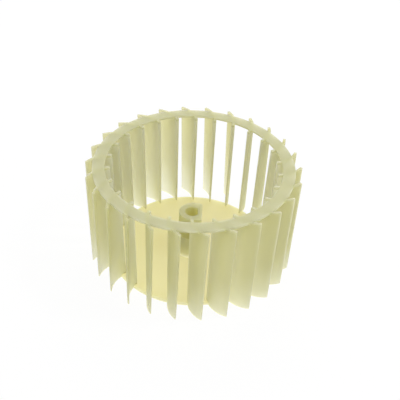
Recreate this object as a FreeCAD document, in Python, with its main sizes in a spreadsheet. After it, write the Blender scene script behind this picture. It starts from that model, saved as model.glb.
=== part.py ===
import FreeCAD, Part
import math
import os
import Sketcher

# Dryer fan impeller: a one-piece plastic drum wheel with forward-curved blades
# Frame: millimetres, +Z up along the shaft axis, origin where the axis meets the flat underside

SIZES = {
    # The blades stand on the underside and end flush with the ring's face
    "wheel_height": 77.4,
    "blade_count": 26,
    "inlet_radius": 58.0,            # axis to a blade's inner edge, at the ring
    "inlet_draft": 2.9,              # how far the inner edge leans in on its way down
    "blade_depth": 17.0,             # inner edge to tip along the radius, at the ring
    "tip_draft": 1.6,                # how far the tip leans in on its way down
    "camber_radius": 19.9,           # radius of the arc that a blade follows in plan
    "blade_thickness": 2.0,          # at the ring
    "blade_thickness_taper": 1.0,    # thinner by this at the underside
    "first_blade_turn": -6.6,        # degrees from the hub's flat side to the first blade's root
    # The ring ties the blades together at the open end
    "ring_thickness": 1.4,
    "ring_inner_setback": 3.2,       # blade edge to the ring's inner edge
    "ring_outer_setback": 5.2,       # ring's outer edge to the blade tip
    # The disc carries the blades at the closed end
    "disc_thickness": 1.8,
    "blade_seat": 4.1,               # how much of each blade stands on the disc
    # The hub is round on one side and square on the other, and stands on a conical foot
    "hub_height": 35.6,
    "hub_radius": 9.5,
    "hub_flat_distance": 7.0,        # axis to the flat side
    "hub_corner_radius": 1.6,
    "hub_edge_chamfer": 0.5,
    "foot_height": 15.5,
    "foot_flare": 2.6,               # how much wider the foot is at the disc than the hub
    "rib_thickness": 1.5,
    "rib_reach": 1.5,                # how far a rib stands out of the hub
    # The bore takes a round shaft up to its shoulder, then its thinner end, which has one flat
    "shaft_diameter": 12.0,
    "shaft_end_diameter": 10.0,
    "shaft_flat_distance": 4.0,      # axis to the flat on the shaft's end
    "bore_clearance": 0.05,          # between shaft and bore, on the radius
    "shoulder_height": 14.0,         # underside to the step that the shaft's shoulder meets
    "lead_in": 0.6,                  # chamfer at the bore's mouth
}

# A blade's curve is cut into this many flat strips, which stay within 0.05 mm of the true arc
STRIPS_PER_BLADE = 8

WHOLE_TURN = 360.0
UP = FreeCAD.Vector(0, 0, 1)

# A flatted bore still removes most of what a round one would
LEAST_BORED = 0.7

# Corners this near to the hub's top belong to its rim
LEVEL_TOLERANCE = 1e-6

document = FreeCAD.newDocument("dryer_fan_impeller")


def make_size_sheet():
    """put every driving size in the sheet, one row each, under its own name"""
    sheet = document.addObject("Spreadsheet::Sheet", "sizes")
    for row, (name, value) in enumerate(SIZES.items(), start=1):
        sheet.set(f"A{row}", name)
        sheet.set(f"B{row}", str(value))
        sheet.setAlias(f"B{row}", name)
    document.recompute()


# Sizes that follow from the driving ones, as the sheet's own formulas
INLET_FOOT = "(sizes.inlet_radius - sizes.inlet_draft)"
TIP_RADIUS = "(sizes.inlet_radius + sizes.blade_depth)"
SEAT_RADIUS = "(sizes.shaft_diameter / 2 + sizes.bore_clearance)"
BORE_RADIUS = "(sizes.shaft_end_diameter / 2 + sizes.bore_clearance)"
BORE_FLAT = "(sizes.shaft_flat_distance + sizes.bore_clearance)"
BORE_HEIGHT = "(sizes.hub_height - sizes.shoulder_height)"
CAMBER_CENTRE = f"sqrt({INLET_FOOT} ^ 2 + sizes.camber_radius ^ 2)"
DISC_RADIUS = f"({INLET_FOOT} + sizes.blade_seat)"
FOOT_RADIUS = "(sizes.hub_radius + sizes.foot_flare)"


def value_of(formula):
    """the number that a formula gives now, for placing a sketch's first outline"""
    return float(document.getObject("sizes").evalExpression(formula))


def vector(x, y):
    return FreeCAD.Vector(x, y, 0)


def origin_feature(body, role):
    """one of the body's own planes or axes"""
    return next(item for item in body.Origin.OriginFeatures if item.Role == role)


def new_sketch(body, name, plane="XY_Plane", height=None, turn=None):
    """a sketch on one of the body's planes, raised and turned about the axis by formulas"""
    sketch = body.newObject("Sketcher::SketchObject", name)
    sketch.AttachmentSupport = [(origin_feature(body, plane), "")]
    sketch.MapMode = "FlatFace"
    if height:
        sketch.setExpression("AttachmentOffset.Base.z", height)
    if turn:
        sketch.AttachmentOffset = FreeCAD.Placement(
            FreeCAD.Vector(0, 0, 0), FreeCAD.Rotation(UP, value_of(turn))
        )
        sketch.setExpression("AttachmentOffset.Rotation.Angle", turn)
    return sketch


def bind(sketch, name, formula, *constraint):
    """add one dimension to the sketch and tie it to its formula"""
    index = sketch.addConstraint(Sketcher.Constraint(*constraint, value_of(formula)))
    sketch.renameConstraint(index, name)
    sketch.setExpression(f"Constraints.{name}", formula)


START, END, CENTRE = 1, 2, 3
ORIGIN_POINT = (-1, 1)


def closed_outline(sketch, corners):
    """straight edges from corner to corner, joined and closed"""
    count = len(corners)
    for i in range(count):
        ends = [vector(*corners[i]), vector(*corners[(i + 1) % count])]
        sketch.addGeometry(Part.LineSegment(*ends), False)
    for i in range(count):
        sketch.addConstraint(Sketcher.Constraint("Coincident", i, END, (i + 1) % count, START))


def squared_outline(sketch, corners):
    """a closed outline whose edges stay level or upright where they are drawn so"""
    closed_outline(sketch, corners)
    for i, (x0, y0) in enumerate(corners):
        x1, y1 = corners[(i + 1) % len(corners)]
        if x0 == x1:
            sketch.addConstraint(Sketcher.Constraint("Vertical", i))
        if y0 == y1:
            sketch.addConstraint(Sketcher.Constraint("Horizontal", i))


def section_from_axis(sketch, corners):
    """a squared section to be turned about the axis, its first corner where the frame starts"""
    squared_outline(sketch, corners)
    sketch.addConstraint(Sketcher.Constraint("Coincident", 0, START, *ORIGIN_POINT))


def make_disc_and_foot(body):
    """the closed end's disc and the cone that carries the hub, turned about the shaft axis"""
    disc_radius, disc_top = value_of(DISC_RADIUS), value_of("sizes.disc_thickness")
    foot_radius, foot_top = value_of(FOOT_RADIUS), value_of("sizes.foot_height")
    hub_radius = value_of("sizes.hub_radius")
    sketch = new_sketch(body, "disc_section", "XZ_Plane")
    section_from_axis(sketch, [
        (0, 0),
        (disc_radius, 0),
        (disc_radius, disc_top),
        (foot_radius, disc_top),
        (hub_radius, foot_top),
        (0, foot_top),
    ])
    bind(sketch, "disc_radius", DISC_RADIUS, "DistanceX", *ORIGIN_POINT, 1, START)
    bind(sketch, "disc_top", "sizes.disc_thickness", "DistanceY", 1, START, 1, END)
    bind(sketch, "foot_radius", FOOT_RADIUS, "DistanceX", *ORIGIN_POINT, 3, START)
    bind(sketch, "hub_radius", "sizes.hub_radius", "DistanceX", *ORIGIN_POINT, 4, START)
    bind(sketch, "foot_top", "sizes.foot_height", "DistanceY", *ORIGIN_POINT, 4, START)
    disc = body.newObject("PartDesign::Revolution", "disc_and_foot")
    disc.Profile = sketch
    disc.ReferenceAxis = (sketch, ["V_Axis"])
    disc.Angle = WHOLE_TURN


def make_hub(body):
    """the upright hub: half round on one side, square with rounded corners on the other"""
    radius, flat = value_of("sizes.hub_radius"), value_of("sizes.hub_flat_distance")
    corner = value_of("sizes.hub_corner_radius")
    quarter = math.pi / 2
    round_side = Part.Circle(vector(0, 0), UP, radius)
    front_corner = Part.Circle(vector(flat - corner, corner - radius), UP, corner)
    back_corner = Part.Circle(vector(flat - corner, radius - corner), UP, corner)
    sketch = new_sketch(body, "hub_outline")
    outline = [
        Part.ArcOfCircle(round_side, quarter, 3 * quarter),
        Part.LineSegment(vector(0, -radius), vector(flat - corner, -radius)),
        Part.ArcOfCircle(front_corner, -quarter, 0),
        Part.LineSegment(vector(flat, corner - radius), vector(flat, radius - corner)),
        Part.ArcOfCircle(back_corner, 0, quarter),
        Part.LineSegment(vector(flat - corner, radius), vector(0, radius)),
    ]
    for edge in outline:
        sketch.addGeometry(edge, False)
    for i in range(len(outline)):
        sketch.addConstraint(Sketcher.Constraint("Tangent", i, END, (i + 1) % len(outline), START))
    sketch.addConstraint(Sketcher.Constraint("Coincident", 0, CENTRE, *ORIGIN_POINT))
    sketch.addConstraint(Sketcher.Constraint("Vertical", 3))
    sketch.addConstraint(Sketcher.Constraint("Equal", 2, 4))
    bind(sketch, "hub_radius", "sizes.hub_radius", "Radius", 0)
    bind(sketch, "hub_flat", "sizes.hub_flat_distance", "DistanceX", *ORIGIN_POINT, 3, START)
    bind(sketch, "hub_corner", "sizes.hub_corner_radius", "Radius", 2)
    sketch.addConstraint(Sketcher.Constraint("Horizontal", 1))
    hub = body.newObject("PartDesign::Pad", "hub")
    hub.Profile = sketch
    hub.setExpression("Length", "sizes.hub_height")
    document.recompute()

    # The rim of the hub's top is bevelled
    top = value_of("sizes.hub_height")
    rim = [
        f"Edge{i}" for i, edge in enumerate(hub.Shape.Edges, start=1)
        if all(abs(vertex.Z - top) < LEVEL_TOLERANCE for vertex in edge.Vertexes)
    ]
    bevel = body.newObject("PartDesign::Chamfer", "hub_rim")
    bevel.Base = (hub, rim)
    bevel.setExpression("Size", "sizes.hub_edge_chamfer")


def make_ribs(body):
    """two thin upright ribs where the hub's round side meets its square side"""
    half = value_of("sizes.rib_thickness / 2")
    reach = value_of("sizes.hub_radius + sizes.rib_reach")
    sketch = new_sketch(body, "rib_outline")
    squared_outline(sketch, [(-half, -reach), (half, -reach), (half, reach), (-half, reach)])
    sketch.addConstraint(Sketcher.Constraint("Symmetric", 0, START, 1, END, *ORIGIN_POINT))
    bind(sketch, "rib_thickness", "sizes.rib_thickness", "DistanceX", 0, START, 0, END)
    bind(sketch, "rib_span", "2 * (sizes.hub_radius + sizes.rib_reach)", "DistanceY", 1, START, 1, END)
    ribs = body.newObject("PartDesign::Pad", "hub_ribs")
    ribs.Profile = sketch
    ribs.setExpression("Length", "sizes.hub_height - sizes.hub_edge_chamfer")


def make_bore(body):
    """a round seat with a chamfered mouth below, and a thinner bore with one flat above it"""
    seat, lead = value_of(SEAT_RADIUS), value_of("sizes.lead_in")
    shoulder = value_of("sizes.shoulder_height")
    seat_section = new_sketch(body, "round_seat_section", "XZ_Plane")
    section_from_axis(seat_section, [
        (0, 0),
        (seat + lead, 0),
        (seat, lead),
        (seat, shoulder),
        (0, shoulder),
    ])
    mouth_radius = f"{SEAT_RADIUS} + sizes.lead_in"
    bind(seat_section, "mouth_radius", mouth_radius, "DistanceX", *ORIGIN_POINT, 1, START)
    bind(seat_section, "mouth_depth", "sizes.lead_in", "DistanceY", *ORIGIN_POINT, 2, START)
    bind(seat_section, "seat_radius", SEAT_RADIUS, "DistanceX", *ORIGIN_POINT, 2, START)
    bind(seat_section, "shoulder", "sizes.shoulder_height", "DistanceY", *ORIGIN_POINT, 3, START)
    round_seat = body.newObject("PartDesign::Groove", "round_seat")
    round_seat.Profile = seat_section
    round_seat.ReferenceAxis = (seat_section, ["V_Axis"])
    round_seat.Angle = WHOLE_TURN

    radius, flat = value_of(BORE_RADIUS), value_of(BORE_FLAT)
    half_angle = math.acos(flat / radius)
    half_chord = radius * math.sin(half_angle)
    bore_outline = new_sketch(body, "flatted_outline", height="sizes.hub_height")
    circle = Part.Circle(vector(0, 0), UP, radius)
    bore_outline.addGeometry(Part.ArcOfCircle(circle, half_angle, 2 * math.pi - half_angle), False)
    chord = Part.LineSegment(vector(flat, -half_chord), vector(flat, half_chord))
    bore_outline.addGeometry(chord, False)
    bore_outline.addConstraint(Sketcher.Constraint("Coincident", 0, CENTRE, *ORIGIN_POINT))
    bore_outline.addConstraint(Sketcher.Constraint("Coincident", 0, END, 1, START))
    bore_outline.addConstraint(Sketcher.Constraint("Coincident", 1, END, 0, START))
    bore_outline.addConstraint(Sketcher.Constraint("Vertical", 1))
    bind(bore_outline, "bore_radius", BORE_RADIUS, "Radius", 0)
    bind(bore_outline, "bore_flat", BORE_FLAT, "DistanceX", *ORIGIN_POINT, 1, START)
    flatted = body.newObject("PartDesign::Pocket", "flatted_bore")
    flatted.Profile = bore_outline
    flatted.setExpression("Length", BORE_HEIGHT)


def camber_turn(radius, thickness):
    """degrees round the camber centre to where a blade's back is that far from the shaft axis"""
    back = f"(sizes.camber_radius + {thickness} / 2)"
    cosine = f"({CAMBER_CENTRE} ^ 2 + {back} ^ 2 - {radius} ^ 2) / (2 * {CAMBER_CENTRE} * {back})"
    return f"(acos({cosine}) - atan({INLET_FOOT} / sizes.camber_radius))"


def blade_section(body, name, height, inner_radius, outer_radius, thickness):
    """one level's cut through a blade: flat strips along two arcs, with square ends"""
    first, last = camber_turn(inner_radius, thickness), camber_turn(outer_radius, thickness)
    step = f"({last} - {first}) / {STRIPS_PER_BLADE}"
    turns = [f"({first} + {step} * {i})" for i in range(STRIPS_PER_BLADE + 1)]
    back = [(f"(sizes.camber_radius + {thickness} / 2)", turn) for turn in turns]
    hollow = [(f"(sizes.camber_radius - {thickness} / 2)", turn) for turn in reversed(turns)]
    formulas = [
        (f"{INLET_FOOT} + {arm} * sin({turn})", f"sizes.camber_radius - {arm} * cos({turn})")
        for arm, turn in back + hollow
    ]
    sketch = new_sketch(body, name, height=height, turn="sizes.first_blade_turn")
    closed_outline(sketch, [(value_of(out), value_of(side)) for out, side in formulas])
    for i, (out, side) in enumerate(formulas):
        bind(sketch, f"corner_{i}_out", out, "DistanceX", *ORIGIN_POINT, i, START)
        bind(sketch, f"corner_{i}_side", side, "DistanceY", *ORIGIN_POINT, i, START)
    return sketch


def make_blades(body):
    """one curved, drafted blade, repeated round the wheel"""
    foot = blade_section(
        body, "blade_foot", None, INLET_FOOT,
        f"({TIP_RADIUS} - sizes.tip_draft)", "(sizes.blade_thickness - sizes.blade_thickness_taper)",
    )
    head = blade_section(
        body, "blade_head", "sizes.wheel_height", "sizes.inlet_radius",
        TIP_RADIUS, "sizes.blade_thickness",
    )
    blade = body.newObject("PartDesign::AdditiveLoft", "blade")
    blade.Profile = foot
    blade.Sections = [head]
    blade.Ruled = True
    document.recompute()
    blades = body.newObject("PartDesign::PolarPattern", "blades")
    blades.Originals = [blade]
    blades.Axis = (foot, ["N_Axis"])
    blades.Angle = WHOLE_TURN
    blades.setExpression("Occurrences", "sizes.blade_count")
    body.Tip = blades


def make_ring(body):
    """the flat ring that ties the blades together at the open end"""
    inner = "(sizes.inlet_radius + sizes.ring_inner_setback)"
    outer = f"({TIP_RADIUS} - sizes.ring_outer_setback)"
    sketch = new_sketch(body, "ring_outline", height="sizes.wheel_height - sizes.ring_thickness")
    for index, (name, formula) in enumerate([("ring_outer", outer), ("ring_inner", inner)]):
        sketch.addGeometry(Part.Circle(vector(0, 0), UP, value_of(formula)), False)
        sketch.addConstraint(Sketcher.Constraint("Coincident", index, CENTRE, *ORIGIN_POINT))
        bind(sketch, name, formula, "Radius", index)
    ring = body.newObject("PartDesign::Pad", "ring")
    ring.Profile = sketch
    ring.setExpression("Length", "sizes.ring_thickness")


def make_impeller():
    """the whole moulding, feature by feature"""
    body = document.addObject("PartDesign::Body", "impeller")
    make_disc_and_foot(body)
    make_hub(body)
    make_ribs(body)
    document.recompute()
    solid_hub = body.Shape.Volume
    make_bore(body)
    document.recompute()
    bored = solid_hub - body.Shape.Volume
    round_bore = math.pi * value_of(
        f"{SEAT_RADIUS} ^ 2 * sizes.shoulder_height + {BORE_RADIUS} ^ 2 * {BORE_HEIGHT}"
    )
    print(f"bore takes {bored:.0f} cubic mm, with no flat it would take {round_bore:.0f}")
    if bored < LEAST_BORED * round_bore:
        raise RuntimeError("the bore didn't cut the hub")
    make_blades(body)
    make_ring(body)
    document.recompute()
    return body


def check(body):
    """stop if any feature failed or the moulding isn't one whole solid"""
    for item in document.Objects:
        if "Invalid" in item.State or "Error" in item.State:
            raise RuntimeError(f"{item.Name} failed: {item.State}")
    shape = body.Shape
    if shape.isNull() or not shape.isValid() or len(shape.Solids) != 1:
        raise RuntimeError("the impeller isn't one valid solid")
    box = shape.BoundBox
    print(f"impeller {box.XLength:.2f} x {box.YLength:.2f} x {box.ZLength:.2f} mm")
    print(f"plastic {shape.Volume:.0f} cubic mm")


make_size_sheet()
impeller = make_impeller()
check(impeller)
os.makedirs("parts", exist_ok=True)
impeller.Shape.exportStep("parts/impeller.step")
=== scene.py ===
# %% [markdown]
# # A dryer fan impeller in natural plastic
#
# This lesson dresses one moulded part: the drum wheel that pushes air through a tumble dryer.
# Everything below is in metres and stands in that frame, so nothing has to be fitted by eye.

# %% Load the frame
import math

import bmesh
import bpy
from mathutils import Matrix, Vector


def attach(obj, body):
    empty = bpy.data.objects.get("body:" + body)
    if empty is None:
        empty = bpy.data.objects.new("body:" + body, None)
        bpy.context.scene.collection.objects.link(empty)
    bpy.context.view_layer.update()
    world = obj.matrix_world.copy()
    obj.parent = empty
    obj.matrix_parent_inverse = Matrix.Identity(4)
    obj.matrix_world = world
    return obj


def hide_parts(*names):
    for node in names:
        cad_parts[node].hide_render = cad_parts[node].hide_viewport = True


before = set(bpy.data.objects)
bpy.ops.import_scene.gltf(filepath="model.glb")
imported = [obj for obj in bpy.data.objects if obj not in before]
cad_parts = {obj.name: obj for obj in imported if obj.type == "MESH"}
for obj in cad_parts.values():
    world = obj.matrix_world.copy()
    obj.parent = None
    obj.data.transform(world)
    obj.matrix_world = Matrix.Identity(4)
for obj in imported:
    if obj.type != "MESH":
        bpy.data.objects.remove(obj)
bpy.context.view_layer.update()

MM = 0.001

# %% [markdown]
# ## The camera
#
# The wheel is seen from above its front, about 39 degrees down, and the picture leans a little.
# The camera is described as a photographer would: how steeply it looks down, how far it leans,
# how far away it stands and how far the wheel's middle lies from the picture's middle. Its focal
# length is in the picture's own pixels. From the angles come three directions, and they are the
# columns of the camera's matrix.

# %% Camera
def new_object(name, data):
    """an object that holds the data, linked to the scene"""
    piece = bpy.data.objects.new(name, data)
    bpy.context.scene.collection.objects.link(piece)
    return piece


WHEEL_HEIGHT = 77.4 * MM
LOOK_DOWN = math.radians(38.85)
LEAN = math.radians(2.90)
DISTANCE = 553.2 * MM
ASIDE = -5.49 * MM
ABOVE = -5.69 * MM
PICTURE_WIDTH = 400
FOCAL_LENGTH = 769.8

ahead = Vector((0, math.cos(LOOK_DOWN), -math.sin(LOOK_DOWN)))
level = Vector((1, 0, 0))
upright = Vector((0, math.sin(LOOK_DOWN), math.cos(LOOK_DOWN)))
right = level * math.cos(LEAN) + upright * math.sin(LEAN)
up = upright * math.cos(LEAN) - level * math.sin(LEAN)
wheel_middle = Vector((0, 0, WHEEL_HEIGHT / 2))

camera_data = bpy.data.cameras.new("photograph_view")
camera_data.angle = 2 * math.atan(PICTURE_WIDTH / 2 / FOCAL_LENGTH)
camera = new_object("photograph_view", camera_data)
turn = Matrix((right, up, -ahead)).transposed().to_4x4()
place = wheel_middle - ahead * DISTANCE - right * ASIDE - up * ABOVE
camera.matrix_world = Matrix.Translation(place) @ turn
bpy.context.scene.camera = camera
print("the camera stands at", [round(c / MM) for c in place], "mm")

# %% [markdown]
# ## A small language for nodes
#
# Node trees get long when every sum is a node with two links. So one small class wraps a
# number that flows between nodes, and Python's own operators add the Math nodes: `2 * width + 1`
# reads like the formula that it is. Every other node comes from one method, which takes the
# node's type, its settings and what goes into its sockets.

# %% Node helpers
class Number:
    """a number that flows between nodes"""

    def __init__(self, maker, socket):
        self.maker = maker
        self.socket = socket

    def __add__(self, other):
        return self.maker.maths("ADD", self, other)

    __radd__ = __add__

    def __sub__(self, other):
        return self.maker.maths("SUBTRACT", self, other)

    def __rsub__(self, other):
        return self.maker.maths("SUBTRACT", other, self)

    def __mul__(self, other):
        return self.maker.maths("MULTIPLY", self, other)

    __rmul__ = __mul__

    def __truediv__(self, other):
        return self.maker.maths("DIVIDE", self, other)

    def __rtruediv__(self, other):
        return self.maker.maths("DIVIDE", other, self)


class NodeMaker:
    """adds nodes to one tree"""

    def __init__(self, tree):
        self.tree = tree

    def node(self, kind, settings=None, inputs=None):
        """a node of that type, with its settings first and then its sockets' values or links"""
        node = self.tree.nodes.new(kind)
        for name, value in (settings or {}).items():
            setattr(node, name, value)
        for name, value in (inputs or {}).items():
            self.feed(node.inputs[name], value)
        return node

    def feed(self, socket, value):
        if isinstance(value, Number):
            value = value.socket
        if isinstance(value, bpy.types.NodeSocket):
            self.tree.links.new(value, socket)
        else:
            socket.default_value = value

    def maths(self, operation, *values):
        node = self.node("ShaderNodeMath", {"operation": operation}, dict(enumerate(values)))
        return Number(self, node.outputs[0])


print("numbers in node trees can now be added and multiplied in Python")

# %% [markdown]
# ## The resin's colour and painted light
#
# The wheel is moulded in natural polypropylene with no pigment. Such plastic is milky, so its
# colour depends on how far light goes in it. The colour starts as two shades that a flow mark
# mixes, and then a few others are blended in by place: how far a point lies from the axle and how
# high it is. Those others are painted light and shade, not the resin's own colour: the blades are
# painted paler at their inner edges and low ends, the ring and the disc get lighter tones, the
# disc's also warmer, and the hub's foot is painted pale below a darker hub. All of them read
# Object coordinates, so they stay with the wheel.

# %% Resin colour and painted light
PLASTIC_DEEP = (0.60, 0.575, 0.22, 1)
PLASTIC_LIGHT = (0.64, 0.61, 0.255, 1)
# Painted light: the blades are made paler towards their inner edges, as if lit more there
PAINTED_LIGHT_BLADE_INNER = (0.96, 0.945, 0.52, 1)
# Painted light: the ring's top gets a lighter tone than the blades' resin
PAINTED_LIGHT_RING = (0.74, 0.725, 0.30, 1)
# Painted light: the disc gets a lighter, warmer tone that stands in for the glow coming up through
# it
PAINTED_LIGHT_DISC = (0.68, 0.62, 0.28, 1)
# Painted light: the blades are made paler towards their lower ends outside the disc
PAINTED_LIGHT_BLADE_FOOT = (0.99, 0.97, 0.45, 1)
# Painted light and shade: the hub's foot is painted pale, and the hub above it darker than the
# foot
PLASTIC_HUB = (0.74, 0.71, 0.34, 1)
PAINTED_LIGHT_HUB_FOOT = (0.99, 0.95, 0.56, 1)

# Distances from the axle at which a share is none, and at which it is full
INNER_PART = (70 * MM, 57 * MM)
PAST_INLET = (56 * MM, 57 * MM)
SHORT_OF_TIPS = (70.8 * MM, 70 * MM)
PAST_DISC = (57 * MM, 61 * MM)
ROUND_HUB = (13.5 * MM, 12.5 * MM)

# Heights at which a share is none, and at which it is full
AT_RING = (75.2 * MM, 76 * MM)
AT_DISC = (4 * MM, 1.9 * MM)
LOW_ON_BLADE = (36 * MM, 0)
OVER_UNDERSIDE = (0.9 * MM, 1.7 * MM)
OVER_FOOT = (16 * MM, 17.5 * MM)


def fade(make, value, limits):
    """0 up to one limit and 1 from the other, eased between"""
    none, full = limits
    ease = make.node(
        "ShaderNodeMapRange", {"interpolation_type": "SMOOTHSTEP"},
        {"Value": value, "From Min": none, "From Max": full},
    )
    return Number(make, ease.outputs[0])


def blend(make, share, first, second):
    """a colour between two colours, which are sockets 6 and 7 of a Mix node"""
    mix = make.node("ShaderNodeMix", {"data_type": "RGBA"}, {"Factor": share, 6: first, 7: second})
    return mix.outputs[2]


def resin_colour_and_painted_light(make, where, mark):
    """the resin's colour, with painted light and shade by place: blades, ring, disc, hub and its
    foot
    """
    axes = make.node("ShaderNodeSeparateXYZ", {}, {0: where}).outputs
    aside, ahead, height = (Number(make, axis) for axis in axes)
    radius = make.maths("SQRT", aside * aside + ahead * ahead)
    at_hub = fade(make, radius, ROUND_HUB) * fade(make, height, OVER_UNDERSIDE)
    past_disc = fade(make, radius, PAST_DISC)
    in_ring = fade(make, radius, PAST_INLET) * fade(make, radius, SHORT_OF_TIPS)
    # Painted light and shade by place, blended over the resin's own colour
    places = (
        (PAINTED_LIGHT_BLADE_INNER, fade(make, radius, INNER_PART)),
        (PAINTED_LIGHT_RING, in_ring * fade(make, height, AT_RING)),
        (PAINTED_LIGHT_DISC, (1 - past_disc) * fade(make, height, AT_DISC)),
        (PAINTED_LIGHT_BLADE_FOOT, past_disc * fade(make, height, LOW_ON_BLADE)),
        (PLASTIC_HUB, at_hub * fade(make, height, OVER_FOOT)),
        (PAINTED_LIGHT_HUB_FOOT, at_hub * fade(make, height, OVER_FOOT[::-1])),
    )
    colour = blend(make, mark, PLASTIC_DEEP, PLASTIC_LIGHT)
    for other, share in places:
        colour = blend(make, share, colour, other)
    return colour


print("the resin's body colour, linear:", PLASTIC_DEEP[:3], "to", PLASTIC_LIGHT[:3])

# %% [markdown]
# ## The plastic
#
# Light goes into this plastic, wanders and comes out elsewhere, warmer. Subsurface scattering by
# random walk does exactly that, and here it also lets the floor's light through the thin walls.
# Its weight, depth and colour balance are the same all over, so they are plain values on the
# shader. Nodes build only what changes over the surface: the colour by place with its painted
# light and shade, flow marks, drawn out upwards because the resin flowed up each blade, and a
# fine grain from the mould in the gloss and the surface.

# %% Natural plastic
SCATTER_DEPTH = 25 * MM
SCATTER_BALANCE = (1.0, 0.90, 0.70)
REFRACTION = 1.49
FLOW_SCALE, FLOW_STRETCH = 45, 0.25
GRAIN_SCALE = 900
GRAIN_DEPTH, GRAIN_STRENGTH = 0.2 * MM, 0.08
ROUGHNESS, MARK_ROUGHNESS, GRAIN_ROUGHNESS = 0.45, 0.12, 0.08


def make_plastic():
    """milky, slightly yellow plastic with faint flow marks, a fine grain and painted light and
    shade
    """
    material = bpy.data.materials.new("natural_plastic")
    material.use_nodes = True
    material.node_tree.nodes.clear()
    make = NodeMaker(material.node_tree)
    where = make.node("ShaderNodeTexCoord").outputs["Object"]
    flow = make.node("ShaderNodeMapping", {}, {"Vector": where, "Scale": (1, 1, FLOW_STRETCH)})
    marks = make.node(
        "ShaderNodeTexNoise", {}, {"Vector": flow.outputs[0], "Scale": FLOW_SCALE, "Detail": 3},
    )
    grain = make.node(
        "ShaderNodeTexNoise", {}, {"Vector": where, "Scale": GRAIN_SCALE, "Detail": 2},
    )
    mark = Number(make, marks.outputs["Fac"])
    speck = Number(make, grain.outputs["Fac"])
    bump = make.node(
        "ShaderNodeBump", {},
        {"Strength": GRAIN_STRENGTH, "Distance": GRAIN_DEPTH, "Height": speck},
    )
    shader = make.node(
        "ShaderNodeBsdfPrincipled", {"subsurface_method": "RANDOM_WALK"},
        {
            "Base Color": resin_colour_and_painted_light(make, where, mark),
            "Roughness": ROUGHNESS + MARK_ROUGHNESS * mark + GRAIN_ROUGHNESS * speck,
            "IOR": REFRACTION,
            "Subsurface Weight": 1.0,
            "Subsurface Radius": SCATTER_BALANCE,
            "Subsurface Scale": SCATTER_DEPTH,
            "Normal": bump.outputs[0],
        },
    )
    make.node("ShaderNodeOutputMaterial", {}, {"Surface": shader.outputs[0]})
    return material


plastic = make_plastic()
print("plastic made:", plastic.name, "with", len(plastic.node_tree.nodes), "nodes")

# %% [markdown]
# ## The blades' sizes
#
# Twenty-six blades stand round the wheel, and each follows one rule. In plan a blade is an arc
# that starts pointing straight out from the axle and leans forward to its tip. Both edges and
# both faces lean a little, so that the moulding leaves its mould. These are the numbers that
# the rule needs, taken from the solid model.

# %% Blade sizes
BLADE_COUNT = 26
INLET_RADIUS = 58.0 * MM
INLET_DRAFT = 2.9 * MM
BLADE_DEPTH = 17.0 * MM
TIP_DRAFT = 1.6 * MM
CAMBER_RADIUS = 19.9 * MM
BLADE_THICKNESS = 2.0 * MM
THICKNESS_TAPER = 1.0 * MM
BLADE_EDGE = 0.25 * MM
FIRST_TURN = math.radians(-6.6)
FLUSH = 0.03 * MM

tip_radius = INLET_RADIUS + BLADE_DEPTH
print("a blade reaches from", INLET_RADIUS / MM, "to", round(tip_radius / MM, 1), "mm at its top")

# %% [markdown]
# ## Rounding a box with formulas
#
# A bevel on a bent blade would need clean corners all along it. It is easier to round the blade
# while it is still a straight box: each side of the box keeps its outer two rows of points for
# the edge, and those are held to an inner box and pushed out by the edge's radius. So the
# helpers here place one row of points, hold a value within a limit, and give the angle at which
# an arc round the camber centre is a stated distance from the axle.

# %% Blade formulas
ALONG, THROUGH, UPWARDS = 25, 6, 15


def rounded_place(make, unit, half, edge, count):
    """where a row of the box goes: the outer two steps of each side share the rounded edge"""
    bend = 1 - 4 / (count - 1)
    size = make.maths("ABSOLUTE", unit)
    inside = make.maths("MINIMUM", size, bend) / bend * (half - edge)
    outside = make.maths("MAXIMUM", size - bend, 0) / (1 - bend) * edge
    return make.maths("SIGN", unit) * (inside + outside)


def clamp_to(make, value, limit):
    """the value, held between minus the limit and the limit"""
    return make.maths("MAXIMUM", make.maths("MINIMUM", value, limit), 0 - limit)


def camber_angle(make, radius, back, centre_far, centre_turn):
    """angle round the camber centre at which a blade's back is that far from the axle"""
    cosine = (centre_far * centre_far + back * back - radius * radius) / (2 * centre_far * back)
    return make.maths("ARCCOSINE", cosine) - centre_turn


print("one blade's box has", ALONG, "by", THROUGH, "by", UPWARDS, "points")

# %% [markdown]
# ## Bending one blade
#
# The box's points run from -1 to 1 each way. Height comes first, because the blade is thinner
# and its edges lie elsewhere lower down. Then the box is given its real length and thickness
# there, rounded, and bent round the camber centre: a point's distance along the blade becomes
# an angle, and its distance from the middle of the wall becomes a change of radius.

# %% Bend a blade
def blade_at_height(make, size, upwards):
    """lift, share of the height, thickness and both end angles of a blade's row"""
    half_height = size["Height"] / 2
    lift = rounded_place(make, upwards, half_height, size["Edge"], UPWARDS)
    lower = 1 - (lift / size["Height"] + 0.5)
    thickness = size["Thickness"] - size["Taper"] * lower
    back = size["Camber Radius"] + thickness / 2
    foot_inlet = size["Inlet Radius"] - size["Inlet Draft"]
    inner = size["Inlet Radius"] - size["Inlet Draft"] * lower
    outer = size["Inlet Radius"] + size["Depth"] - size["Tip Draft"] * lower
    camber = size["Camber Radius"]
    centre_far = make.maths("SQRT", foot_inlet * foot_inlet + camber * camber)
    centre_turn = make.maths("ARCTAN2", foot_inlet, camber)
    first = camber_angle(make, inner, back, centre_far, centre_turn)
    last = camber_angle(make, outer, back, centre_far, centre_turn)
    return lift, thickness, first, last


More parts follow.
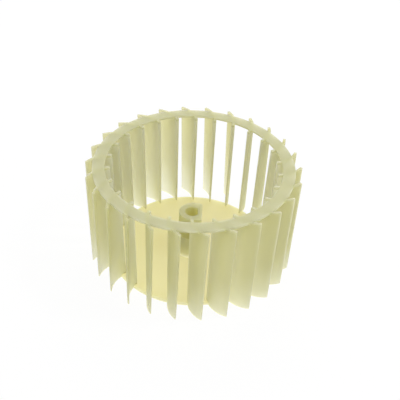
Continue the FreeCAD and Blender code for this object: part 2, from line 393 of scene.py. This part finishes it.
def bent_blade(make, size):
    """a rounded box, bent into one blade that starts on the X axis"""
    box = make.node(
        "GeometryNodeMeshCube", {},
        {"Size": (2, 2, 2), "Vertices X": ALONG, "Vertices Y": THROUGH, "Vertices Z": UPWARDS},
    )
    position = make.node("GeometryNodeInputPosition").outputs[0]
    unit = make.node("ShaderNodeSeparateXYZ", {}, {0: position}).outputs
    along, through, upwards = (Number(make, axis) for axis in unit)
    lift, thickness, first, last = blade_at_height(make, size, upwards)
    camber, edge, half_height = size["Camber Radius"], size["Edge"], size["Height"] / 2
    half_length = (last - first) * camber / 2

    # Held to an inner box, then pushed out by the edge's radius
    reach = rounded_place(make, along, half_length, edge, ALONG)
    depth = rounded_place(make, through, thickness / 2, edge, THROUGH)
    held = [
        clamp_to(make, reach, half_length - edge),
        clamp_to(make, depth, thickness / 2 - edge),
        clamp_to(make, lift, half_height - edge),
    ]
    beyond = [place - inner for place, inner in zip((reach, depth, lift), held)]
    out = make.node("ShaderNodeCombineXYZ", {}, dict(enumerate(beyond)))
    out = make.node("ShaderNodeVectorMath", {"operation": "NORMALIZE"}, {0: out.outputs[0]})
    push = make.node("ShaderNodeSeparateXYZ", {}, {0: out.outputs[0]}).outputs
    reach, depth, lift = (inner + edge * Number(make, side) for inner, side in zip(held, push))

    # Bent round the camber centre
    angle = (first + last) / 2 + reach / camber
    arm = camber + depth
    bent = make.node(
        "ShaderNodeCombineXYZ", {},
        {
            0: size["Inlet Radius"] - size["Inlet Draft"] + arm * make.maths("SINE", angle),
            1: camber - arm * make.maths("COSINE", angle),
            2: lift + half_height,
        },
    )
    blade = make.node(
        "GeometryNodeSetPosition", {},
        {"Geometry": box.outputs["Mesh"], "Position": bent.outputs[0]},
    )
    return blade.outputs["Geometry"]


print("a blade turns through", round(math.degrees(BLADE_DEPTH / CAMBER_RADIUS)), "degrees or more")

# %% [markdown]
# ## Copying it round the axle
#
# Copies that follow a rule are what Geometry Nodes do best. The tree puts one point for each
# blade on the axle, turns a blade by its number at each point, and ends in Realize Instances
# and Set Material, because an exported mesh holds no instances. Its sizes are named inputs, so
# the same tree would make another wheel.

# %% Blade tree
BLADE_INPUTS = (
    "Height", "Inlet Radius", "Inlet Draft", "Depth", "Tip Draft", "Camber Radius",
    "Thickness", "Taper", "Edge", "First Turn",
)


def make_blade_tree():
    """Geometry Nodes that bend a rounded box into a blade and copy it round the axle"""
    tree = bpy.data.node_groups.new("blades", "GeometryNodeTree")
    face = tree.interface
    face.new_socket("Geometry", in_out="INPUT", socket_type="NodeSocketGeometry")
    face.new_socket("Geometry", in_out="OUTPUT", socket_type="NodeSocketGeometry")
    face.new_socket("Blades", in_out="INPUT", socket_type="NodeSocketInt")
    for name in BLADE_INPUTS:
        face.new_socket(name, in_out="INPUT", socket_type="NodeSocketFloat")
    make = NodeMaker(tree)
    given = make.node("NodeGroupInput").outputs
    size = {socket.name: Number(make, socket) for socket in given if socket.name}

    places = make.node(
        "GeometryNodePoints", {}, {"Count": size["Blades"], "Position": (0, 0, 0)},
    )
    number = Number(make, make.node("GeometryNodeInputIndex").outputs[0])
    turned = number * math.tau / size["Blades"] + size["First Turn"]
    rotation = make.node("ShaderNodeCombineXYZ", {}, {2: turned})
    copies = make.node(
        "GeometryNodeInstanceOnPoints", {},
        {
            "Points": places.outputs[0],
            "Instance": bent_blade(make, size),
            "Rotation": rotation.outputs[0],
        },
    )
    real = make.node("GeometryNodeRealizeInstances", {}, {0: copies.outputs[0]})
    painted = make.node(
        "GeometryNodeSetMaterial", {}, {"Geometry": real.outputs[0], "Material": plastic},
    )
    make.node("NodeGroupOutput", {}, {0: painted.outputs[0]})
    return tree


blade_tree = make_blade_tree()
print("the blade tree has", len(blade_tree.nodes), "nodes")

# %% [markdown]
# ## Making the blades
#
# A modifier runs the tree on an empty mesh. Its inputs are set by the sockets' identifiers,
# before the object is first evaluated. Then the result is kept as a plain mesh and the modifier
# goes. The blades stand a hair lower than the ring's top and above the disc's underside, so
# that the faces don't lie in one plane when the shells are joined later.

# %% Make the blades
def bake(piece):
    """keep the evaluated shape as a plain mesh, in place of the modifiers"""
    bpy.context.view_layer.update()
    shape = bpy.data.meshes.new_from_object(
        piece.evaluated_get(bpy.context.evaluated_depsgraph_get())
    )
    piece.modifiers.clear()
    piece.data = shape


def make_blades():
    blades = new_object("blades", bpy.data.meshes.new("blades"))
    modifier = blades.modifiers.new("blades", "NODES")
    modifier.node_group = blade_tree
    values = {
        "Blades": BLADE_COUNT,
        "Height": WHEEL_HEIGHT - 2 * FLUSH,
        "Inlet Radius": INLET_RADIUS,
        "Inlet Draft": INLET_DRAFT,
        "Depth": BLADE_DEPTH,
        "Tip Draft": TIP_DRAFT,
        "Camber Radius": CAMBER_RADIUS,
        "Thickness": BLADE_THICKNESS,
        "Taper": THICKNESS_TAPER,
        "Edge": BLADE_EDGE,
        "First Turn": FIRST_TURN,
    }
    for socket in modifier.node_group.interface.items_tree:
        if socket.in_out == "INPUT" and socket.name in values:
            modifier[socket.identifier] = values[socket.name]
    bake(blades)
    blades.data.transform(Matrix.Translation((0, 0, FLUSH)))
    return blades


blades = make_blades()
print("blades:", BLADE_COUNT, "with", len(blades.data.polygons), "faces in all")

# %% [markdown]
# ## Turned and upright shapes
#
# The ring, the disc and the hub's foot are round, so each is a small section turned about the
# axle. The hub and the ribs have the same outline all the way up, so each is an outline stacked
# in layers. Two helpers make both kinds as closed shells with their faces outwards.

# %% Shell helpers
ROUND_STEPS = 8 * BLADE_COUNT
MERGE_WITHIN = 1e-7


def close_shell(name, shell):
    """finish a bmesh: merge what coincides, turn the faces outwards, make it an object"""
    bmesh.ops.remove_doubles(shell, verts=shell.verts, dist=MERGE_WITHIN)
    bmesh.ops.recalc_face_normals(shell, faces=shell.faces)
    mesh = bpy.data.meshes.new(name)
    shell.to_mesh(mesh)
    shell.free()
    mesh.materials.append(plastic)
    return new_object(name, mesh)


def turned(name, section, steps=ROUND_STEPS):
    """a closed section of (radius, height) corners, turned once about the axle"""
    shell = bmesh.new()
    rings = []
    for radius, height in section:
        angles = [math.tau * i / steps for i in range(steps)]
        rings.append([
            shell.verts.new((radius * math.cos(a), radius * math.sin(a), height)) for a in angles
        ])
    for lower, upper in zip(rings, rings[1:] + rings[:1]):
        for i in range(steps):
            corners = [lower[i], lower[(i + 1) % steps], upper[(i + 1) % steps], upper[i]]
            shell.faces.new(corners)
    return close_shell(name, shell)


def stacked(name, layers):
    """outlines of the same number of corners at rising heights, skinned and capped"""
    shell = bmesh.new()
    rings = [[shell.verts.new((x, y, height)) for x, y in outline] for outline, height in layers]
    for lower, upper in zip(rings, rings[1:]):
        for i in range(len(lower)):
            following = (i + 1) % len(lower)
            shell.faces.new([lower[i], lower[following], upper[following], upper[i]])
    shell.faces.new(rings[0][::-1])
    shell.faces.new(rings[-1])
    return close_shell(name, shell)


def rounded_corner(corner, before, after, radius, steps=3):
    """points of a section's corner, rounded by a radius"""
    corner, before, after = Vector(corner), Vector(before), Vector(after)
    start = corner + (before - corner).normalized() * radius
    end = corner + (after - corner).normalized() * radius
    points = []
    for i in range(steps + 1):
        share = i / steps
        first, second = start.lerp(corner, share), corner.lerp(end, share)
        points.append(tuple(first.lerp(second, share)))
    return points


def rounded_section(corners, radii):
    """a section whose corners are rounded, each by its own radius"""
    points = []
    for i, corner in enumerate(corners):
        if radii[i]:
            following = corners[(i + 1) % len(corners)]
            points += rounded_corner(corner, corners[i - 1], following, radii[i])
        else:
            points.append(corner)
    return points


print("round shapes are turned in", ROUND_STEPS, "steps")

# %% [markdown]
# ## The ring
#
# A thin flat ring ties the blades together at the open end, flush with their tops.

# %% Ring
RING_THICKNESS = 1.4 * MM
RING_INNER = INLET_RADIUS + 3.2 * MM
RING_OUTER = INLET_RADIUS + BLADE_DEPTH - 5.2 * MM
RING_EDGE = 0.25 * MM

ring_low = WHEEL_HEIGHT - RING_THICKNESS
ring = turned("ring", rounded_section(
    [
        (RING_INNER, ring_low), (RING_OUTER, ring_low),
        (RING_OUTER, WHEEL_HEIGHT), (RING_INNER, WHEEL_HEIGHT),
    ],
    [RING_EDGE] * 4,
))
print("ring from", round(RING_INNER / MM, 1), "to", round(RING_OUTER / MM, 1), "mm from the axle")

# %% [markdown]
# ## The disc and the hub's foot
#
# The closed end is a flat disc. In its middle a cone rises to carry the hub. Both come from one
# section. Its innermost corners lie well inside the hub, where the bore is cut away later.

# %% Disc and foot
DISC_RADIUS = INLET_RADIUS - INLET_DRAFT + 4.1 * MM
DISC_THICKNESS = 1.8 * MM
HUB_RADIUS = 9.5 * MM
FOOT_HEIGHT = 15.5 * MM
FOOT_FLARE = 2.6 * MM
CORE_RADIUS = 1 * MM
DISC_EDGE = 0.3 * MM
FOOT_FILLET = 1.2 * MM

foot_radius = HUB_RADIUS + FOOT_FLARE
disc = turned("disc", rounded_section(
    [
        (CORE_RADIUS, 0), (DISC_RADIUS, 0), (DISC_RADIUS, DISC_THICKNESS),
        (foot_radius, DISC_THICKNESS), (HUB_RADIUS, FOOT_HEIGHT), (CORE_RADIUS, FOOT_HEIGHT),
    ],
    [0, DISC_EDGE, DISC_EDGE, FOOT_FILLET, DISC_EDGE, 0],
))
print("disc reaches", round(DISC_RADIUS / MM, 1), "mm from the axle")

# %% [markdown]
# ## The hub
#
# The hub is half round on one side and square on the other, so that a shaft with a flat can
# drive it. Its outline is stacked in layers, and the last few shrink to ease the rim. Two thin
# ribs stand where the round side meets the square one.

# %% Hub
HUB_HEIGHT = 35.6 * MM
HUB_FLAT = 7.0 * MM
HUB_CORNER = 1.6 * MM
HUB_EASE = 0.5 * MM
HUB_STEPS, CORNER_STEPS = 32, 6
RIB_THICKNESS = 1.5 * MM
RIB_REACH = 1.5 * MM
RIB_EASE = 0.3 * MM


def arc(middle, radius, first, last, steps):
    """points along an arc, in degrees"""
    angles = [math.radians(first + (last - first) * i / steps) for i in range(steps + 1)]
    return [(middle[0] + radius * math.cos(a), middle[1] + radius * math.sin(a)) for a in angles]


def hub_outline(inset):
    """the hub's outline, drawn in by an inset"""
    radius, corner = HUB_RADIUS - inset, HUB_CORNER - inset
    across, aside = HUB_FLAT - HUB_CORNER, HUB_RADIUS - HUB_CORNER
    points = arc((0, 0), radius, 90, 270, HUB_STEPS)
    points += arc((across, -aside), corner, -90, 0, CORNER_STEPS)
    points += arc((across, aside), corner, 0, 90, CORNER_STEPS)
    return points


def eased_layers(outline, low, high, ease, steps=3):
    """layers of an upright shape whose top rim is rounded"""
    layers = [(outline(0), low)]
    for i in range(steps + 1):
        angle = math.pi / 2 * i / steps
        inset = ease * (1 - math.cos(angle))
        layers.append((outline(inset), high - ease + ease * math.sin(angle)))
    return layers


def rib_outline(inset):
    """both ribs in one upright plate through the axle, drawn in by an inset"""
    half, reach = RIB_THICKNESS / 2 - inset, HUB_RADIUS + RIB_REACH - inset
    return [(-half, -reach), (half, -reach), (half, reach), (-half, reach)]


inside_disc = DISC_THICKNESS / 2
hub = stacked("hub", eased_layers(hub_outline, inside_disc, HUB_HEIGHT, HUB_EASE))
ribs = stacked("ribs", eased_layers(rib_outline, inside_disc, HUB_HEIGHT - HUB_EASE, RIB_EASE))
print("hub is", round(HUB_HEIGHT / MM, 1), "mm tall")

# %% [markdown]
# ## The bore
#
# The shaft's round part sits in the lower stretch, and its thinner end, which has one flat,
# fills the upper one. Each stretch is a plug that is cut out of the hub. Both plugs run on past
# the plastic and widen as they leave it, which eases the bore's two mouths.

# %% Bore plugs
SEAT_RADIUS = 6.05 * MM
SEAT_HEIGHT = 14 * MM
LEAD_IN = 0.6 * MM
BORE_RADIUS = 5.05 * MM
BORE_FLAT = 4.05 * MM
MOUTH_EASE = 0.3 * MM
PAST = 1 * MM
SEAT_STEPS, BORE_STEPS = 96, 72
FIRST_CORNER = 1


def circle(radius):
    """a circle whose corners start at FIRST_CORNER degrees, so that they miss the disc's"""
    last = FIRST_CORNER + 360 - 360 / SEAT_STEPS
    return arc((0, 0), radius, FIRST_CORNER, last, SEAT_STEPS - 1)


def flatted(radius, flat):
    """a circle with one flat on its +X side"""
    half = math.degrees(math.acos(flat / radius))
    return arc((0, 0), radius, half, 360 - half, BORE_STEPS)


seat_plug = stacked("seat_plug", [
    (circle(SEAT_RADIUS + LEAD_IN + PAST), -PAST),
    (circle(SEAT_RADIUS), LEAD_IN),
    (circle(SEAT_RADIUS), SEAT_HEIGHT),
])
bore_plug = stacked("bore_plug", [
    (flatted(BORE_RADIUS, BORE_FLAT), SEAT_HEIGHT - PAST),
    (flatted(BORE_RADIUS, BORE_FLAT), HUB_HEIGHT - MOUTH_EASE),
    (flatted(BORE_RADIUS + PAST, BORE_FLAT + PAST), HUB_HEIGHT - MOUTH_EASE + PAST),
])
print("shaft seat:", round(2 * SEAT_RADIUS / MM, 1), "mm wide")
print("bore above it:", round(2 * BORE_RADIUS / MM, 1), "mm wide")

# %% [markdown]
# ## One moulding
#
# On the real wheel all of this is one piece of plastic, and light wanders through it freely. So
# the shells become one closed skin: exact Booleans join them and cut the bore. Where two edges
# all but meet, a Boolean leaves needles of almost no width, and those are dissolved. Then the
# faces are shaded smooth, apart from the sharp edges, with normals weighted towards the large
# faces, so that flat walls look flat next to their rounded edges.

# %% Join and cut
SHARP = math.radians(35)
NEEDLE = 0.01 * MM
FAVOUR_LARGE = 100


def combine(piece, other, operation):
    """join another shell to the piece or cut it away, and drop the other"""
    modifier = piece.modifiers.new(operation, "BOOLEAN")
    modifier.operation = operation
    modifier.solver = "EXACT"
    modifier.object = other
    bake(piece)
    bpy.data.objects.remove(other)


def dissolve_needles(mesh):
    """close up edges shorter and faces narrower than NEEDLE"""
    skin = bmesh.new()
    skin.from_mesh(mesh)
    bmesh.ops.dissolve_degenerate(skin, edges=skin.edges, dist=NEEDLE)
    skin.to_mesh(mesh)
    skin.free()


wheel = disc
wheel.name = "impeller_moulding"
for shell in (hub, ribs):
    combine(wheel, shell, "UNION")
for plug in (seat_plug, bore_plug):
    combine(wheel, plug, "DIFFERENCE")
combine(blades, ring, "UNION")
combine(wheel, blades, "UNION")
dissolve_needles(wheel.data)

wheel.data.shade_smooth()
wheel.data.set_sharp_from_angle(angle=SHARP)
weigh = wheel.modifiers.new("weigh", "WEIGHTED_NORMAL")
weigh.keep_sharp = True
weigh.weight = FAVOUR_LARGE
bake(wheel)
wheel.data.name = "impeller_moulding"
print("the moulding has", len(wheel.data.polygons), "faces")

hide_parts("impeller")
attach(wheel, "root")

# %% [markdown]
# ## The floor
#
# The wheel stands on a plain white floor, like a photographer's light table: it is lit from
# above, and a soft glow comes up through it, which is why the thin disc looks so bright. The
# background has to be white without more light on the wheel. So where the camera looks, the
# floor's colour is mostly its own white, and the rest is lit, which keeps the wheel's shadow.

# %% Floor
FLOOR_HALF = 3.0
FLOOR_DROP = 0.3 * MM
FLOOR_GLOW = 0.50
FLOOR_SEEN_WHITE = 0.9
FLOOR_COLOUR = (0.8, 0.8, 0.8, 1)
WHITE = (1, 1, 1, 1)


def seen_directly(make):
    """1 where the camera looks, straight or by way of a gloss or a clear body, and 0 for light"""
    path = make.node("ShaderNodeLightPath").outputs
    kinds = [Number(make, path[f"Is {kind} Ray"]) for kind in ("Camera", "Glossy", "Transmission")]
    return make.maths("MAXIMUM", make.maths("MAXIMUM", kinds[0], kinds[1]), kinds[2])


def make_floor():
    """a lit floor, softly lit from beneath as well, that looks white"""
    material = bpy.data.materials.new("white_floor")
    material.use_nodes = True
    material.node_tree.nodes.clear()
    make = NodeMaker(material.node_tree)
    lit = make.node("ShaderNodeBsdfDiffuse", {}, {"Color": FLOOR_COLOUR})
    glow = make.node("ShaderNodeEmission", {}, {"Color": WHITE, "Strength": FLOOR_GLOW})
    table = make.node("ShaderNodeAddShader", {}, {0: lit.outputs[0], 1: glow.outputs[0]})
    white = make.node("ShaderNodeEmission", {}, {"Color": WHITE, "Strength": 1})
    mixed = make.node(
        "ShaderNodeMixShader", {},
        {"Fac": seen_directly(make) * FLOOR_SEEN_WHITE, 1: table.outputs[0], 2: white.outputs[0]},
    )
    make.node("ShaderNodeOutputMaterial", {}, {"Surface": mixed.outputs[0]})
    mesh = bpy.data.meshes.new("floor")
    square = ((-1, -1), (1, -1), (1, 1), (-1, 1))
    corners = [(x * FLOOR_HALF, y * FLOOR_HALF, -FLOOR_DROP) for x, y in square]
    mesh.from_pydata(corners, [], [(0, 1, 2, 3)])
    mesh.materials.append(material)
    return new_object("floor", mesh)


floor = make_floor()
print("floor:", 2 * FLOOR_HALF, "m wide,", round(FLOOR_DROP / MM, 1), "mm below the wheel")

# %% [markdown]
# ## Lamps and world
#
# Most of the light is an even white world, as under a studio tent. A small lamp high on the
# right makes the hub's soft shadow and shades the blades. Three broad ones behind, one of them
# high, lighten the walls that the camera sees against them. All are weak, so a colour renders
# about as it is written. To the camera the world is plain white, and to the wheel it is only
# as bright as WORLD_LIGHT says.

# %% Lamps and world
def soft_lamp(name, place, size, watts):
    """a square lamp that faces the wheel"""
    data = bpy.data.lights.new(name, "AREA")
    data.shape = "SQUARE"
    data.size = size
    data.energy = watts
    lamp = new_object(name, data)
    lamp.location = place
    lamp.rotation_euler = (wheel_middle - Vector(place)).to_track_quat("-Z", "Y").to_euler()


soft_lamp("key_lamp", (0.8, 0.0, 1.15), size=0.25, watts=3.7)
soft_lamp("high_back_lamp", (0.0, 1.1, 1.1), size=0.8, watts=4.0)
soft_lamp("left_back_lamp", (-0.75, 1.25, 0.4), size=0.9, watts=2.4)
soft_lamp("right_back_lamp", (1.1, 1.0, 0.4), size=0.9, watts=1.2)

WORLD_LIGHT = 0.38

world = bpy.data.worlds.new("studio")
world.use_nodes = True
world.node_tree.nodes.clear()
make = NodeMaker(world.node_tree)
strength = WORLD_LIGHT + seen_directly(make) * (1 - WORLD_LIGHT)
sky = make.node("ShaderNodeBackground", {}, {"Color": WHITE, "Strength": strength})
make.node("ShaderNodeOutputWorld", {}, {"Surface": sky.outputs[0]})
bpy.context.scene.world = world
bpy.context.scene.view_settings.view_transform = "Standard"
print("world light:", WORLD_LIGHT, "and lamps:", [light.name for light in bpy.data.lights])
